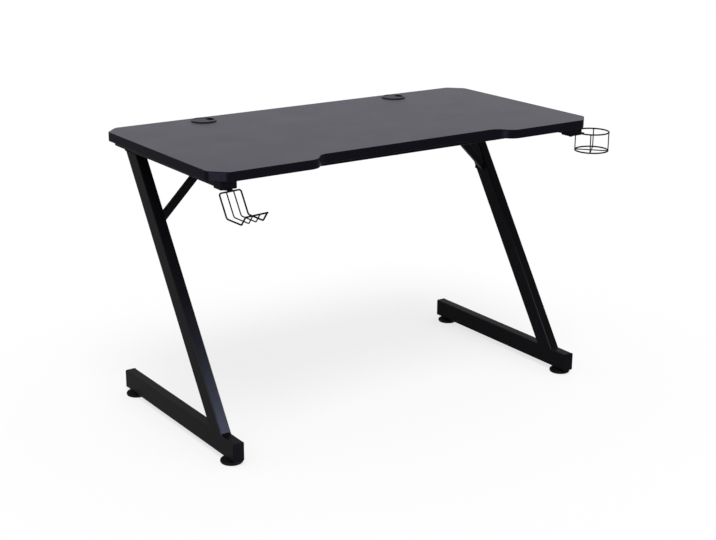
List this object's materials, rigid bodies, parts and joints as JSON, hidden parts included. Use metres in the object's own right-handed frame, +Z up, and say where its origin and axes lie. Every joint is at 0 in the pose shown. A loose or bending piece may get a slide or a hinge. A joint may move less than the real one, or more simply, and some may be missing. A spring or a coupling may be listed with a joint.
{
  "type": "gaming desk",
  "caption": "Gaming desk: recessed board on leaning steel side frames with braces, levelling feet, turning cable grommets, a wire cup holder and a wire headset hook.",
  "frame": {"origin": "bottom centre of the whole object's box, at floor height; the box takes in the cup holder and the hook", "axes": "+X to the sitter's right along the board's long side, +Y to the back, +Z up"},
  "size_m": [1.2942, 0.6958, 0.754],
  "materials": {
    "top_laminate": "grey satin laminate on pressed wood",
    "edge_band": "black edge band",
    "frame_coat": "black satin powder coat",
    "cap_plastic": "black moulded plastic",
    "foot_pad": "black moulded plastic",
    "zinc_steel": "zinc plated",
    "black_hardware": "blackened steel",
    "grommet_rim": "dark moulded plastic",
    "grommet_lid": "grey moulded plastic",
    "wire_coat": "black coated wire"
  },
  "bodies": {
    "frame": {"beam_bolts": "black_hardware", "brace_bolts": "black_hardware", "cup_holder_base_ring": "wire_coat", "cup_holder_floor": "wire_coat", "cup_holder_posts": "wire_coat", "cup_holder_tab": "wire_coat", "cup_holder_top_ring": "wire_coat", "desktop_board": "top_laminate", "desktop_edge_band": "edge_band", "desktop_screws": "black_hardware", "front_crossbeam": "frame_coat", "hook_inner_wires": "wire_coat", "hook_lip_bar": "wire_coat", "hook_outer_wire": "wire_coat", "hook_tab": "wire_coat", "left_bar_front_cap": "cap_plastic", "left_bar_rear_cap": "cap_plastic", "left_brace": "frame_coat", "left_floor_bar": "frame_coat", "left_front_foot_nut": "zinc_steel", "left_grommet_ring": "grommet_rim", "left_leg": "frame_coat", "left_rail_rear_plug": "cap_plastic", "left_rail_shoe": "cap_plastic", "left_rear_foot_nut": "zinc_steel", "left_side_rail": "frame_coat", "left_weld_beads": "frame_coat", "rear_crossbeam": "frame_coat", "right_bar_front_cap": "cap_plastic", "right_bar_rear_cap": "cap_plastic", "right_brace": "frame_coat", "right_floor_bar": "frame_coat", "right_front_foot_nut": "zinc_steel", "right_grommet_ring": "grommet_rim", "right_leg": "frame_coat", "right_rail_rear_plug": "cap_plastic", "right_rail_shoe": "cap_plastic", "right_rear_foot_nut": "zinc_steel", "right_side_rail": "frame_coat", "right_weld_beads": "frame_coat", "tab_bolts": "black_hardware", "weld_nuts": "zinc_steel"},
    "left_front_foot": {"left_front_pad": "foot_pad", "left_front_stud": "zinc_steel"},
    "left_rear_foot": {"left_rear_pad": "foot_pad", "left_rear_stud": "zinc_steel"},
    "left_grommet_lid": {"left_grommet_cap": "grommet_lid"},
    "right_front_foot": {"right_front_pad": "foot_pad", "right_front_stud": "zinc_steel"},
    "right_rear_foot": {"right_rear_pad": "foot_pad", "right_rear_stud": "zinc_steel"},
    "right_grommet_lid": {"right_grommet_cap": "grommet_lid"}
  },
  "joints": [
    {"name": "left_front_foot_screw", "type": "slide", "parent": "frame", "child": "left_front_foot", "axis": [0, 0, -1], "range_m": [0, 0.015]},
    {"name": "left_rear_foot_screw", "type": "slide", "parent": "frame", "child": "left_rear_foot", "axis": [0, 0, -1], "range_m": [0, 0.015]},
    {"name": "left_grommet_lid_turn", "type": "hinge", "parent": "frame", "child": "left_grommet_lid", "pos_m": [-0.36714, 0.29786, 0.7495], "axis": [0, 0, 1], "continuous": true},
    {"name": "right_front_foot_screw", "type": "slide", "parent": "frame", "child": "right_front_foot", "axis": [0, 0, -1], "range_m": [0, 0.015]},
    {"name": "right_rear_foot_screw", "type": "slide", "parent": "frame", "child": "right_rear_foot", "axis": [0, 0, -1], "range_m": [0, 0.015]},
    {"name": "right_grommet_lid_turn", "type": "hinge", "parent": "frame", "child": "right_grommet_lid", "pos_m": [0.27286, 0.29786, 0.7495], "axis": [0, 0, 1], "continuous": true}
  ]
}
